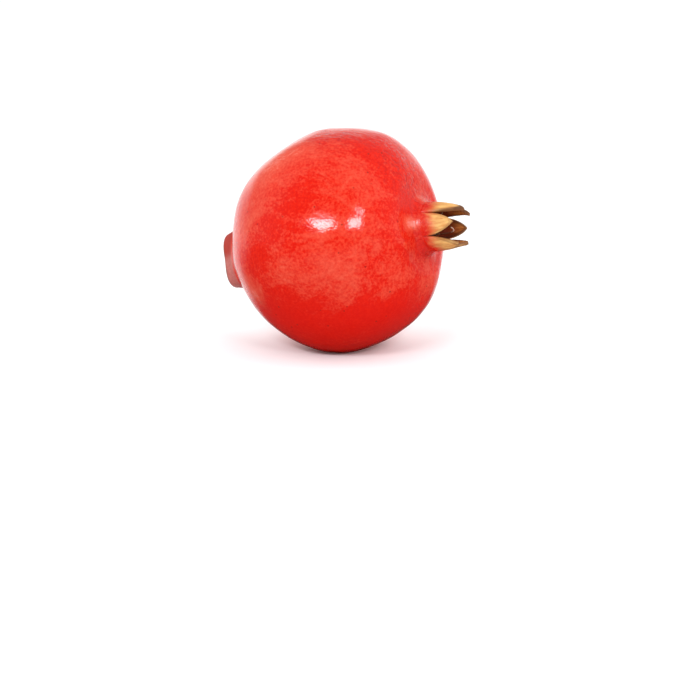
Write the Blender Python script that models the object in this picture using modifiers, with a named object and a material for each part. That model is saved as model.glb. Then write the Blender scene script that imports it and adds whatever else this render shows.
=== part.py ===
"""A whole pomegranate, picked and lying on its side, at its real size in metres.

It rests on a small flat spot with its crown towards +X and +Z up. The origin is on the ground, under the
middle of its box.
The fruit is one turned shape: cup, crown, body and stem end in a single skin. Formulas then pull its rim
into six sepals, raise its ribs and swellings, and flatten the spot it lies on. The dried stamens in the
cup and the woody stub of the stalk are pieces of their own.
"""

import math
import random

import bmesh
import bpy
from mathutils import Matrix, Vector

MM = 0.001

# How the fruit lies
CENTRE_HEIGHT = 43.6 * MM  # the middle of the body above the ground, a little less than its radius there
CENTRE_FORWARD = -4.72 * MM  # the middle of the body from the origin, along X
CENTRE_SIDEWAYS = 0.02 * MM  # the same, along Y
AXIS_TILT = math.radians(12.0)  # the crown's end is the higher one
REST_BLEND = 0.25 * MM  # height over which the flat spot rounds into the skin

# The body, measured along its axis from its middle, with the crown at the positive end
BODY_RADIUS = 44.8 * MM
RIBS = 6
RIB_DEPTH = 0.012  # as a share of the radius, at the equator
RIB_PHASE = math.radians(30.0)  # a rib's place at the equator
RIB_TWIST = math.radians(15.0)  # how far a rib turns from the equator to the crown

# The stem's end: a raised boss with a dimple for the stalk
BOSS_REACH = 47.1 * MM
BOSS_RADIUS = 12.3 * MM
BOSS_DROP = 2.4 * MM  # how far its middle lies below the axis
BOSS_CORNERS = 4
BOSS_CORNER_DEPTH = 0.085
DIMPLE_DEPTH = 2.6 * MM
DIMPLE_RADIUS = 2.9 * MM

# The crown: a short neck, then six sepals round an open cup
SEPALS = 6
SEPAL_PHASE = math.radians(75.0)  # the first sepal's middle, the one that faces the front
NOTCH_AT = 42.0 * MM  # where the slits between the sepals begin
NECK_RADIUS = 10.0 * MM
WALL = 2.4 * MM
SEPAL_LENGTH = 15.4 * MM
NOTCH_LEFT = 0.03  # share of a sepal's length that still stands at a slit
CUP_FLOOR_AT = 36.4 * MM
CUP_FLOOR_RADIUS = 5.4 * MM
CROWN_DROOP = 0.085  # how far the crown sinks for each metre along it
DROOP_FROM = 37.5 * MM
SEPAL_BELLY = 0.035  # how much wider the crown is half way up, as a share

# One row for each sepal, from the front one upwards: its length and the radius that its tip leans in to, as
# shares, how far the tip swings sideways in radians, and how far it curls outwards
SEPAL_SHAPES = (
    (0.83, 0.85, -0.14, 0.00),
    (1.03, 0.765, -0.10, 0.02),
    (1.04, 0.646, 0.06, -0.04),
    (0.80, 0.638, -0.06, 0.05),
    (0.92, 0.693, -0.16, 0.16),
    (0.83, 0.945, 0.10, -0.06),
)

# Swellings and dents of the body: polar angle from the crown, angle around, height and spread
SWELLINGS = (
    (56.0, -25.0, 2.5 * MM, 20.0),
    (92.0, -5.0, 1.0 * MM, 14.0),
    (111.0, 7.0, -1.5 * MM, 22.0),
    (48.0, 205.0, -0.9 * MM, 24.0),
    (66.0, 118.0, 0.7 * MM, 26.0),
    (100.0, 235.0, -0.8 * MM, 30.0),
    (58.0, 268.0, 0.9 * MM, 26.0),
    (132.0, 300.0, 0.8 * MM, 24.0),
    (97.0, 180.0, 1.35 * MM, 32.0),
    (144.0, 130.0, 0.8 * MM, 14.0),
    (30.0, 230.0, -0.8 * MM, 12.0),
)

# The dried tuft in the cup
TUFT_GAP = 0.3 * MM
DISC_RADIUS = 4.5 * MM
DISC_HEIGHT = 1.1 * MM
STAMEN_RINGS = ((15, 4.0, 7.2), (11, 2.9, 6.0), (7, 1.9, 4.8))  # how many, root radius and length in mm
STAMEN_THICKNESS = 0.7 * MM
ANTHER_RADIUS = 0.62 * MM
STYLE_THICKNESS = 1.2 * MM
STYLE_LENGTH = 6.6 * MM
STIGMA_RADIUS = 1.05 * MM
TUFT_SEED = 11

# The stalk's stub
STUB_RADIUS = 2.15 * MM
STUB_PROUD = 1.6 * MM  # how far its cut end stands out of the boss
STUB_GAP = 0.3 * MM

# How finely the skin is divided
COLUMNS = 72
OUTLINE_STEPS = 2
SEPAL_ROWS = 6
CUP_ROWS = 3


def smooth_step(low, high, value):
    """0 below low, 1 above high, and an even slope between them."""
    share = min(1.0, max(0.0, (value - low) / (high - low)))
    return share * share * (3.0 - 2.0 * share)


def clear_scene():
    for obj in list(bpy.data.objects):
        bpy.data.objects.remove(obj)


def new_collection(name):
    collection = bpy.data.collections.new(name)
    bpy.context.scene.collection.children.link(collection)
    return collection


def make_material(name, colour, roughness):
    material = bpy.data.materials.new(name)
    material.use_nodes = True
    shader = material.node_tree.nodes["Principled BSDF"]
    shader.inputs["Base Color"].default_value = (*colour, 1.0)
    shader.inputs["Roughness"].default_value = roughness
    shader.inputs["Metallic"].default_value = 0.0
    return material


def add_object(name, mesh, collection, material=None):
    obj = bpy.data.objects.new(name, mesh)
    collection.objects.link(obj)
    if material:
        mesh.materials.append(material)
    return obj


def as_mesh(obj):
    """The object's evaluated mesh, in its own coordinates. The object itself is removed."""
    bpy.context.view_layer.update()
    evaluated = obj.evaluated_get(bpy.context.evaluated_depsgraph_get())
    mesh = bpy.data.meshes.new_from_object(evaluated)
    bpy.data.objects.remove(obj)
    return mesh


def smooth_outline(knots, collection):
    """Points of a smooth curve through the knots, each a place along the axis and a radius."""
    curve = bpy.data.curves.new("outline", "CURVE")
    curve.dimensions = "3D"
    curve.resolution_u = OUTLINE_STEPS
    spline = curve.splines.new("BEZIER")
    spline.bezier_points.add(len(knots) - 1)
    for point, (along, radius) in zip(spline.bezier_points, knots):
        point.co = (radius, 0.0, along)
        point.handle_left_type = "AUTO"
        point.handle_right_type = "AUTO"
    mesh = as_mesh(add_object("outline", curve, collection))
    return [(vertex.co.z, max(0.0, vertex.co.x)) for vertex in mesh.vertices]


def turned(name, points, collection):
    """The mesh of a profile turned about the Z axis. The profile runs down the outside, top to bottom."""
    mesh = bpy.data.meshes.new(name)
    edges = [(i, i + 1) for i in range(len(points) - 1)]
    mesh.from_pydata([(radius, 0.0, along) for along, radius in points], edges, [])
    obj = add_object(name, mesh, collection)
    screw = obj.modifiers.new("turn", "SCREW")
    screw.axis = "Z"
    screw.steps = COLUMNS
    screw.render_steps = COLUMNS
    screw.use_merge_vertices = True
    screw.merge_threshold = 0.00001
    return as_mesh(obj)


def body_knots():
    """The outside, from the slits of the crown down to the bottom of the stem's dimple."""
    polar = ((31, 0.973), (40, 0.997), (52, 1.012), (66, 1.01), (80, 1.003), (94, 0.996),
             (108, 0.977), (122, 0.957), (136, 0.948), (149, 0.946))
    knots = [
        (NOTCH_AT, NECK_RADIUS),
        (NOTCH_AT - 1.6 * MM, NECK_RADIUS + 1.1 * MM),
        (NOTCH_AT - 3.0 * MM, NECK_RADIUS + 2.3 * MM),
        (0.855 * BODY_RADIUS, 0.33 * BODY_RADIUS),
    ]
    for degrees, share in polar:
        angle = math.radians(degrees)
        knots.append((share * BODY_RADIUS * math.cos(angle), share * BODY_RADIUS * math.sin(angle)))
    knots += [
        (-0.91 * BODY_RADIUS, 1.16 * BOSS_RADIUS),
        (-BOSS_REACH + 2.6 * MM, 1.02 * BOSS_RADIUS),
        (-BOSS_REACH + 0.7 * MM, 0.96 * BOSS_RADIUS),
        (-BOSS_REACH + 0.2 * MM, 0.7 * BOSS_RADIUS),
        (-BOSS_REACH + 0.35 * DIMPLE_DEPTH, DIMPLE_RADIUS + 0.7 * MM),
        (-BOSS_REACH + DIMPLE_DEPTH, DIMPLE_RADIUS),
        (-BOSS_REACH + DIMPLE_DEPTH, 0.0),
    ]
    return knots


def fruit_profile(collection):
    """The whole profile: the cup's floor, up inside the crown, over its rim, and down the outside."""
    inner = NECK_RADIUS - WALL
    tip = NOTCH_AT + SEPAL_LENGTH
    points = [(CUP_FLOOR_AT, 0.0), (CUP_FLOOR_AT, 0.55 * CUP_FLOOR_RADIUS)]
    for row in range(CUP_ROWS):
        share = row / CUP_ROWS
        points.append((CUP_FLOOR_AT + share * (NOTCH_AT - CUP_FLOOR_AT),
                       CUP_FLOOR_RADIUS + (inner - CUP_FLOOR_RADIUS) * math.sqrt(share)))
    for row in range(SEPAL_ROWS + 1):
        points.append((NOTCH_AT + SEPAL_LENGTH * row / SEPAL_ROWS, inner))
    points.append((tip + 0.3 * MM, inner + 0.5 * WALL))
    for row in range(SEPAL_ROWS, 0, -1):
        points.append((NOTCH_AT + SEPAL_LENGTH * row / SEPAL_ROWS, NECK_RADIUS))
    return points + smooth_outline(body_knots(), collection)


def sepal_place(angle):
    """Which sepal an angle round the axis lies in, and how far across it, from -1 to 1."""
    turns = (SEPAL_PHASE - angle) / (2.0 * math.pi / SEPALS)
    nearest = round(turns)
    return SEPAL_SHAPES[nearest % SEPALS], 2.0 * (nearest - turns)


def sepal_outline(across):
    """How high a sepal stands at a place across it: 1 at its tip and 0 at the slits."""
    side = min(1.0, abs(across))
    return 0.95 * (1.0 - side**1.8) ** 0.55 + 0.05 * (1.0 - side) ** 5


def crown_point(radius, angle, along):
    """A point of the crown above the slits, pulled down to its sepal's edge and leaning with the sepal."""
    (length, tip_radius, swing, curl), across = sepal_place(angle)
    column = (along - NOTCH_AT) / SEPAL_LENGTH
    height = column * length * (NOTCH_LEFT + (1.0 - NOTCH_LEFT) * sepal_outline(across))
    middle = NECK_RADIUS - 0.5 * WALL
    lean = 1.0 + (tip_radius - 1.0) * height**1.8 + curl * height**5
    lean += SEPAL_BELLY * math.sin(math.pi * height)
    thickness = 1.0 - column * (0.35 + 0.33 * across * across)
    radius = middle * lean + (radius - middle) * thickness
    return radius, angle + swing * height**2, NOTCH_AT + SEPAL_LENGTH * height


def direction(polar, angle):
    """The unit vector at a polar angle from the crown and an angle around the axis."""
    return Vector((math.sin(polar) * math.cos(angle), math.sin(polar) * math.sin(angle), math.cos(polar)))


def body_point(radius, angle, along):
    """A point of the body or the neck, moved out or in by the ribs, the swellings and the boss's corners."""
    polar = math.atan2(radius, along)
    on_body = smooth_step(NOTCH_AT, 0.86 * BODY_RADIUS, along)
    on_body *= smooth_step(-0.93 * BODY_RADIUS, -0.8 * BODY_RADIUS, along)
    twist = RIB_TWIST * smooth_step(0.0, BODY_RADIUS, along)
    rib = RIB_DEPTH * (1.0 + 0.9 * math.cos(polar) ** 2) * math.cos(RIBS * (angle - RIB_PHASE + twist))
    share = 1.0 + on_body * rib
    outwards = direction(polar, angle)
    for from_crown, around, height, spread in SWELLINGS:
        middle = direction(math.radians(from_crown), math.radians(around))
        closeness = (outwards.dot(middle) - 1.0) / (1.0 - math.cos(math.radians(spread)))
        share += on_body * height / BODY_RADIUS * math.exp(closeness)
    on_boss = smooth_step(-0.9 * BODY_RADIUS, -BOSS_REACH + 2.0 * MM, along)
    on_boss *= smooth_step(DIMPLE_RADIUS, BOSS_RADIUS, radius)
    share += on_boss * BOSS_CORNER_DEPTH * math.cos(BOSS_CORNERS * angle - 2.51)
    return radius * share, angle, along


def in_place(radius, angle, along):
    """From the fruit's own axis to where it lies. Angle 0 is up, and a quarter turn is towards the front."""
    droop = CROWN_DROOP * max(0.0, along - DROOP_FROM) * smooth_step(DROOP_FROM, NOTCH_AT, along)
    droop += BOSS_DROP * smooth_step(0.7 * BODY_RADIUS, BOSS_REACH, -along)
    upwards = radius * math.cos(angle) - droop
    return Vector((
        CENTRE_FORWARD + along * math.cos(AXIS_TILT) - upwards * math.sin(AXIS_TILT),
        CENTRE_SIDEWAYS - radius * math.sin(angle),
        CENTRE_HEIGHT + along * math.sin(AXIS_TILT) + upwards * math.cos(AXIS_TILT),
    ))


def resting(height):
    """A height above the ground: what would sink below is pressed flat, and the flat's edge is rounded."""
    if height <= -REST_BLEND:
        return 0.0
    if height < REST_BLEND:
        return (height + REST_BLEND) ** 2 / (4.0 * REST_BLEND)
    return height


def shaped(point):
    """Where a point of the plain turned fruit ends up."""
    radius = math.hypot(point.x, point.y)
    angle = math.atan2(point.y, point.x)
    if point.z > NOTCH_AT:
        placed = in_place(*crown_point(radius, angle, point.z))
    else:
        placed = in_place(*body_point(radius, angle, point.z))
    placed.z = resting(placed.z)
    return placed


def make_fruit(collection, material):
    """Body, neck, crown and cup: one skin that grew as one piece."""
    mesh = turned("fruit", fruit_profile(collection), collection)
    for vertex in mesh.vertices:
        vertex.co = shaped(vertex.co)
    mesh.shade_smooth()
    return add_object("fruit", mesh, collection, material)


def tube_between(name, points, thickness, collection):
    """A round thread along the points, with its ends closed."""
    curve = bpy.data.curves.new(name, "CURVE")
    curve.dimensions = "3D"
    curve.bevel_depth = 0.5 * thickness
    curve.bevel_resolution = 0
    curve.use_fill_caps = True
    spline = curve.splines.new("POLY")
    spline.points.add(len(points) - 1)
    for place, point in zip(spline.points, points):
        place.co = (*point, 1.0)
    mesh = as_mesh(add_object(name, curve, collection))
    return add_object(name, welded(mesh), collection)


def welded(mesh):
    """The mesh with its caps joined to its sides and its faces pointing out."""
    work = bmesh.new()
    work.from_mesh(mesh)
    bmesh.ops.remove_doubles(work, verts=work.verts, dist=0.00001)
    bmesh.ops.recalc_face_normals(work, faces=work.faces)
    work.to_mesh(mesh)
    work.free()
    return mesh


def bead(name, place, radius, stretch, heading, collection):
    """A small rounded head, stretched along its heading."""
    work = bmesh.new()
    bmesh.ops.create_icosphere(work, subdivisions=1, radius=radius)
    turn = heading.to_track_quat("Z", "Y").to_matrix().to_4x4()
    placing = Matrix.Translation(place) @ turn @ Matrix.Diagonal((1, 1, stretch, 1))
    bmesh.ops.transform(work, matrix=placing, verts=work.verts)
    mesh = bpy.data.meshes.new(name)
    work.to_mesh(mesh)
    work.free()
    return add_object(name, mesh, collection)


def make_thread(angle, root_radius, length, bend, thickness, head, stretch, collection):
    """One stamen, or the style: a thread rooted in the disc that bends inwards, with a head on its tip."""
    base = CUP_FLOOR_AT + TUFT_GAP + 0.3 * DISC_HEIGHT
    steps = 4
    points = []
    for step in range(steps + 1):
        share = step / steps
        spread = root_radius + (0.9 * MM * share - 2.6 * MM * bend * share**3)
        points.append(in_place(max(0.0, spread), angle + 0.5 * bend * share, base + length * share))
    tube_between("thread", points, thickness, collection)
    bead("head", points[-1], head, stretch, points[-1] - points[-2], collection)


def make_stamens(collection, material):
    """The dried stamens and the style, which stand on the disc at the bottom of the cup."""
    draw = random.Random(TUFT_SEED)
    pieces = new_collection("tuft pieces")
    floor = CUP_FLOOR_AT + TUFT_GAP
    profile = [(floor + DISC_HEIGHT, 0.0), (floor + 0.85 * DISC_HEIGHT, 0.6 * DISC_RADIUS),
               (floor + 0.4 * DISC_HEIGHT, DISC_RADIUS), (floor, 0.9 * DISC_RADIUS), (floor, 0.0)]
    disc = turned("stamens", profile, collection)
    for vertex in disc.vertices:
        spread = math.hypot(vertex.co.x, vertex.co.y)
        vertex.co = in_place(spread, math.atan2(vertex.co.y, vertex.co.x), vertex.co.z)
    for count, root_radius, longest in STAMEN_RINGS:
        for i in range(count):
            angle = 2.0 * math.pi * (i + draw.uniform(-0.25, 0.25)) / count
            length = longest * MM * draw.uniform(0.86, 1.04)
            bend = draw.uniform(0.1, 0.9)
            make_thread(angle, root_radius * MM, length, bend, STAMEN_THICKNESS, ANTHER_RADIUS, 1.35, pieces)
    make_thread(0.0, 0.0, STYLE_LENGTH, 0.0, STYLE_THICKNESS, STIGMA_RADIUS, 0.8, pieces)
    tuft = add_object("stamens", disc, collection, material)
    join = tuft.modifiers.new("join", "BOOLEAN")
    join.operation = "UNION"
    join.operand_type = "COLLECTION"
    join.collection = pieces
    join.solver = "EXACT"
    mesh = as_mesh(tuft)
    for obj in list(pieces.objects):
        bpy.data.objects.remove(obj)
    bpy.data.collections.remove(pieces)
    return add_object("stamens", mesh, collection)


def make_stub(collection, material):
    """The cut stub of the stalk, standing in the boss's dimple."""
    root = -BOSS_REACH + DIMPLE_DEPTH - STUB_GAP
    end = -BOSS_REACH - STUB_PROUD
    profile = [(root, 0.0), (root, 0.8 * STUB_RADIUS), (root - 0.5 * MM, STUB_RADIUS),
               (0.4 * root + 0.6 * end, 0.9 * STUB_RADIUS), (end + 0.25 * MM, 1.02 * STUB_RADIUS),
               (end, 0.86 * STUB_RADIUS), (end, 0.0)]
    mesh = turned("stem_stub", profile, collection)
    for vertex in mesh.vertices:
        radius = math.hypot(vertex.co.x, vertex.co.y)
        angle = math.atan2(vertex.co.y, vertex.co.x)
        ridged = radius * (1.0 + 0.05 * math.cos(4.0 * angle) + 0.03 * math.cos(7.0 * angle + 1.0))
        vertex.co = in_place(ridged, angle, vertex.co.z)
    mesh.shade_smooth()
    return add_object("stem_stub", mesh, collection, material)


def main():
    clear_scene()
    fruit = new_collection("pomegranate")
    make_fruit(fruit, make_material("rind", (0.72, 0.05, 0.03), 0.32))
    make_stamens(fruit, make_material("stamens", (0.2, 0.1, 0.05), 0.8))
    make_stub(fruit, make_material("stem_stub", (0.28, 0.19, 0.11), 0.8))


main()
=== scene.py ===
"""A pomegranate lying on a pale floor in soft studio light.

The skin is one turned profile that Geometry Nodes shape by formula: ribs, swellings, the boss at the
stalk's end, the neck and the six sepals round the open crown. The dried stamens in the cup are threads set
out by Geometry Nodes, and the stalk's stub is turned and given its woody fibres in the same way.
"""

import math

import bmesh
import bpy
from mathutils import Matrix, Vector


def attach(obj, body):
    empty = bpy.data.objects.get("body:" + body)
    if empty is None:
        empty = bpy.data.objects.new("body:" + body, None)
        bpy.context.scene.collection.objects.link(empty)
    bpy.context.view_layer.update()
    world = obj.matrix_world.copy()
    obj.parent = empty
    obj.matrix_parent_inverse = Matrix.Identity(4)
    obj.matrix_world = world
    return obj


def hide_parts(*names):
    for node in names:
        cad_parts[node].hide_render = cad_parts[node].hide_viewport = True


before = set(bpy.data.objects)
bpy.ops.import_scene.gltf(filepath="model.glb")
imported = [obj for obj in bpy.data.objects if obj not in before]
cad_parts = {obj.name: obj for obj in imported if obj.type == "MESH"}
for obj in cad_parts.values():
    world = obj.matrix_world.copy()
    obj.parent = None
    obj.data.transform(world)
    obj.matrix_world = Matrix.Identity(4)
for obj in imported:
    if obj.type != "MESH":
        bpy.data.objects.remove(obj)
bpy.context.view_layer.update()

MM = 0.001

# How the fruit lies
CENTRE = Vector((-4.72, 0.02, 43.6)) * MM  # the middle of its body
AXIS_TILT = math.radians(12.0)  # the crown's end is the higher one
REST_BLEND = 0.25 * MM

# The body, measured along its axis from its middle, with the crown at the positive end
BODY_RADIUS = 44.8 * MM
RIBS = 6
RIB_DEPTH = 0.012
RIB_PHASE = math.radians(30.0)
RIB_TWIST = math.radians(15.0)

# The raised boss at the stalk's end, with its dimple
BOSS_REACH = 47.1 * MM
BOSS_RADIUS = 12.3 * MM
BOSS_DROP = 2.4 * MM
BOSS_CORNERS = 4
BOSS_CORNER_DEPTH = 0.085
BOSS_CORNER_TURN = 2.51
DIMPLE_DEPTH = 2.6 * MM
DIMPLE_RADIUS = 2.9 * MM

# The crown: a short neck, then six sepals round an open cup
SEPALS = 6
SEPAL_PHASE = math.radians(75.0)
NOTCH_AT = 42.0 * MM
NECK_RADIUS = 10.0 * MM
WALL = 2.4 * MM
SEPAL_LENGTH = 15.4 * MM
NOTCH_LEFT = 0.03
CUP_FLOOR_AT = 36.4 * MM
CUP_FLOOR_RADIUS = 5.4 * MM
RIM_ROUNDING = 0.25 * MM
CROWN_DROOP = 0.085
DROOP_FROM = 37.5 * MM

# A sepal's outline: how full its sides are, how blunt its tip is, the share of the length that they make,
# and how far its middle bellies out
SEPAL_SIDES = 1.8
SEPAL_TIP = 0.55
SEPAL_SHARE = 0.95
SEPAL_BELLY = 0.035

# One row for each sepal, from the front one upwards: its length, the radius its tip leans in to, how far
# the tip swings sideways in radians, how far it curls outwards, and how dried its tip is
SEPAL_SHAPES = (
    (0.83, 0.85, -0.14, 0.00, 0.0),
    (1.03, 0.765, -0.10, 0.02, 0.9),
    (1.04, 0.646, 0.06, -0.04, 1.0),
    (0.80, 0.638, -0.06, 0.05, 0.8),
    (0.92, 0.693, -0.16, 0.16, 0.5),
    (0.83, 0.945, 0.10, -0.06, 0.3),
)

# The neck's folds, its waist, and the shoulder that it rises from: where each starts, is full, fades and
# ends along the axis. The waist faces one way, and the shoulder is one spot: its polar angle from the
# crown, angle around and spread
NECK_FOLDS = (33.0 * MM, 37.0 * MM, 38.5 * MM, 41.0 * MM)
WAIST = (38.2 * MM, 39.2 * MM, 40.0 * MM, 42.0 * MM)
WAIST_FACING = math.radians(72.0)
SHOULDER = (26.0 * MM, 34.0 * MM, 39.0 * MM, 42.0 * MM)
SHOULDER_SPOT = (29.0, 98.0, 9.5)

# Swellings and dents of the body: polar angle from the crown, angle around, height and spread
SWELLINGS = (
    (56.0, -25.0, 2.5 * MM, 20.0),
    (92.0, -5.0, 1.0 * MM, 14.0),
    (111.0, 7.0, -1.5 * MM, 22.0),
    (48.0, 205.0, -0.9 * MM, 24.0),
    (66.0, 118.0, 0.7 * MM, 26.0),
    (100.0, 235.0, -0.8 * MM, 30.0),
    (58.0, 268.0, 0.9 * MM, 26.0),
    (132.0, 300.0, 0.8 * MM, 24.0),
    (97.0, 180.0, 1.35 * MM, 32.0),
    (144.0, 130.0, 0.8 * MM, 14.0),
    (30.0, 230.0, -0.8 * MM, 12.0),
)

# The dried tuft in the cup
TUFT_FLOOR = CUP_FLOOR_AT + 0.3 * MM
DISC_RADIUS = 4.5 * MM
DISC_HEIGHT = 1.1 * MM
STYLE_LENGTH = 6.6 * MM
THREAD_LENGTH = 6.6 * MM
GOLDEN_ANGLE = 2.39996
HEAD_TURN = (0.5, 0.3, 0.0)
HEAD_STRETCH = (0.8, 1.0, 1.45)

# The disc's outline from its crest, round its rim, to its bottom: shares of its height and of its radius
DISC_OUTLINE = ((1.0, 0.0), (0.97, 0.3), (0.85, 0.6), (0.68, 0.85), (0.4, 1.0), (0.0, 0.9), (0.0, 0.0))

# The bent threads that the tuft draws from: how far the tip stands aside, and how the thread is pulled on
# its way there, as shares of its length
THREAD_BENDS = (
    ((-0.10, 0.02), (0.05, 0.0, -0.3)),
    ((-0.30, -0.06), (0.28, 0.0, 0.02)),
    ((0.06, 0.12), (-0.12, -0.1, -0.25)),
    ((-0.22, 0.16), (0.2, -0.2, 0.12)),
)

# Long threads that rise along the cup's wall: angle around and radius at the root, then angle, radius and
# place along the axis at the tip, and how far the thread hooks over above its tip, lengths in millimetres
LONG_THREADS = (
    (212.0, 4.2, 247.0, 2.1, 49.7, 4.2),
    (150.0, 4.0, 120.0, 5.0, 46.8, -1.5),
    (330.0, 4.0, 352.0, 5.2, 47.6, -1.5),
)

# Patches of the skin that are paler than the rest, or deeper red where the amount is negative, among them
# painted highlights on the neck's front and top and painted shade under the crown: polar angle from the
# crown, angle around, spread and amount
PATCHES_AND_PAINTED_LIGHT = (
    (106.0, 30.0, 22.0, 0.85),
    (55.0, 39.0, 11.0, 0.35),
    (121.0, 68.0, 10.0, 0.35),
    (66.0, 101.0, 13.0, 0.16),
    (36.0, 165.0, 13.0, 0.25),
    (82.0, 54.0, 9.0, -0.30),
    (97.0, 77.0, 9.0, -0.25),
    (111.0, 90.0, 8.0, -0.30),
    (50.0, 20.0, 15.0, -0.30),
    (21.0, 44.0, 7.0, -0.60),
    # painted highlight, where a softbox shines on the neck's front
    (18.5, 73.0, 4.5, 1.10),
    # painted highlight on the fold at the top of the neck
    (15.0, -5.0, 4.0, 0.80),
    # painted shade under the crown
    (16.5, 139.0, 5.0, -0.50),
    (126.0, 111.0, 10.0, 1.10),
    (93.0, 98.0, 9.0, 0.28),
    (37.0, 127.0, 10.0, 0.18),
)

# Where the skin is wrinkled near the top: polar angle from the crown, angle around and spread
WRINKLED = ((38.0, 5.0, 22.0), (75.0, 10.0, 13.0))

# The stalk's stub
STUB_RADIUS = 2.15 * MM
STUB_PROUD = 1.6 * MM
STUB_GAP = 0.3 * MM
STUB_END = -BOSS_REACH - STUB_PROUD

# How finely the turned pieces are divided
COLUMNS = 336
OUTLINE_STEPS = 9
SEPAL_ROWS = 44
CUP_ROWS = 14
CUP_FLOOR_RINGS = 5
RIM_STEPS = 6
DISC_COLUMNS = 48
STUB_COLUMNS = 90
STUB_OUTLINE_STEPS = 6
STUB_END_RINGS = 7

# Colours of the rind: the red skin, the boss with its brown face, the sepals and the cup inside them
RED = (0.66, 0.015, 0.003)
DEEP_RED = (0.55, 0.005, 0.0005)
PINK = (0.68, 0.092, 0.049)
PALEST_PINK = (0.72, 0.19, 0.15)
# painted shade: the deeper red of the underside
UNDERSIDE_SHADE_RED = (0.63, 0.003, 0.0005)
WRINKLE_RED = (0.44, 0.003, 0.002)
SCAR_BROWN = (0.10, 0.012, 0.006)
BOSS_PINK = (0.58, 0.20, 0.17)
BOSS_ROSE = (0.46, 0.11, 0.09)
# painted shade: the dark red of the boss's top
BOSS_TOP_SHADE_RED = (0.42, 0.028, 0.014)
BOSS_FACE_TAN = (0.29, 0.115, 0.065)
BOSS_FACE_BROWN = (0.17, 0.052, 0.030)
SEPAL_STRAW = (0.75, 0.44, 0.135)
SEPAL_TAN = (0.57, 0.24, 0.05)
SEPAL_DOT_BROWN = (0.42, 0.17, 0.04)
DRIED_BROWN = (0.15, 0.048, 0.010)
CUP_AMBER = (0.60, 0.21, 0.032)
CUP_MAROON = (0.22, 0.022, 0.002)
CUP_EDGE_BROWN = (0.05, 0.02, 0.010)

# Colours of the tuft
THREAD_CREAM = (0.70, 0.44, 0.34)
THREAD_BROWN = (0.16, 0.035, 0.015)
ANTHER_BROWN = (0.14, 0.07, 0.025)
DISC_BROWN = (0.10, 0.02, 0.010)
TUFT_TAN = (0.30, 0.15, 0.06)
POLLEN_YELLOW = (0.62, 0.42, 0.14)

# Colours of the stub
BARK_LIGHT = (0.33, 0.20, 0.10)
BARK_DARK = (0.12, 0.055, 0.025)
BARK_OLIVE = (0.24, 0.19, 0.09)
WOOD_LIGHT = (0.52, 0.38, 0.22)
WOOD_DARK = (0.30, 0.19, 0.10)
PITH_BROWN = (0.20, 0.11, 0.05)

# The photograph's frame: how far the camera stands, what a pixel spans at the fruit, and the body's middle
# in pixels
VIEW_AZIMUTH = math.radians(25.0)
VIEW_ELEVATION = math.radians(10.0)
VIEW_DISTANCE = 1.0
FRAME_PIXELS = 679
PIXEL = 0.404 * MM
MIDDLE_IN_FRAME = (336.5, 240.0)
SENSOR_WIDTH = 36.0  # in millimetres

# The floor, and the softboxes: degrees to the right of the camera and above it, width, height and power
FLOOR_RADIUS = 6.0
SOFTBOX_DISTANCE = 1.1
SOFTBOX_COLOUR = (0.92, 0.95, 1.0)
SOFTBOXES = {
    "left softbox": (-22.0, 24.0, 0.54, 0.17, 5.6),
    "right softbox": (20.5, 20.5, 0.26, 0.22, 2.9),
    "small softbox": (29.0, 33.0, 0.12, 0.12, 0.6),
}


# Node trees


class Field:
    """An output of a node tree. Sums and products of fields become math nodes in the same tree."""

    def __init__(self, tree, socket):
        self.tree = tree
        self.socket = socket

    def calculate(self, operation, *others):
        node = self.tree.nodes.new("ShaderNodeMath")
        node.operation = operation
        for slot, value in zip(node.inputs, (self, *others)):
            connect(slot, value)
        return Field(self.tree, node.outputs[0])

    def __add__(self, other):
        return self.calculate("ADD", other)

    def __sub__(self, other):
        return self.calculate("SUBTRACT", other)

    def __mul__(self, other):
        return self.calculate("MULTIPLY", other)

    def __truediv__(self, other):
        return self.calculate("DIVIDE", other)

    def __pow__(self, other):
        return self.calculate("POWER", other)

    def __neg__(self):
        return self * -1.0

    __radd__ = __add__
    __rmul__ = __mul__

    def __rsub__(self, other):
        return -self + other

    def cos(self):
        return self.calculate("COSINE")

    def sin(self):
        return self.calculate("SINE")

    def exp(self):
        return self.calculate("EXPONENT")

    def abs(self):
        return self.calculate("ABSOLUTE")

    def round(self):
        return self.calculate("ROUND")

    def at_least(self, other):
        return self.calculate("MAXIMUM", other)

    def at_most(self, other):
        return self.calculate("MINIMUM", other)

    def above(self, other):
        return self.calculate("GREATER_THAN", other)

    def rising(self, low, high):
        """0 at low, 1 at high, and a smooth slope between them; low may be the greater one."""
        sizes = {"Value": self, "From Min": low, "From Max": high}
        return make_node(self.tree, "ShaderNodeMapRange", sizes, interpolation_type="SMOOTHSTEP")


def connect(slot, value):
    """Gives a socket a field or a plain value."""
    if isinstance(value, Field):
        value.tree.links.new(value.socket, slot)
    else:
        slot.default_value = value


def make_node(tree, kind, inputs, output=0, **settings):
    """Adds a node with its settings and inputs, named or numbered. Returns the field of one output."""
    node = tree.nodes.new(kind)
    for name, value in settings.items():
        setattr(node, name, value)
    for name, value in inputs.items():
        slots = [slot for slot in node.inputs if slot.name == name and slot.enabled]
        connect(slots[0] if slots else node.inputs[name], value)
    return Field(tree, node.outputs[output])


def either(mask, inside, outside):
    """inside where the mask is 1, and outside where it is 0."""
    return outside + (inside - outside) * mask


def combined(tree, x, y, z):
    return make_node(tree, "ShaderNodeCombineXYZ", {"X": x, "Y": y, "Z": z})


def separated(vector):
    node = make_node(vector.tree, "ShaderNodeSeparateXYZ", {"Vector": vector}).socket.node
    return [Field(vector.tree, output) for output in node.outputs]


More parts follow.
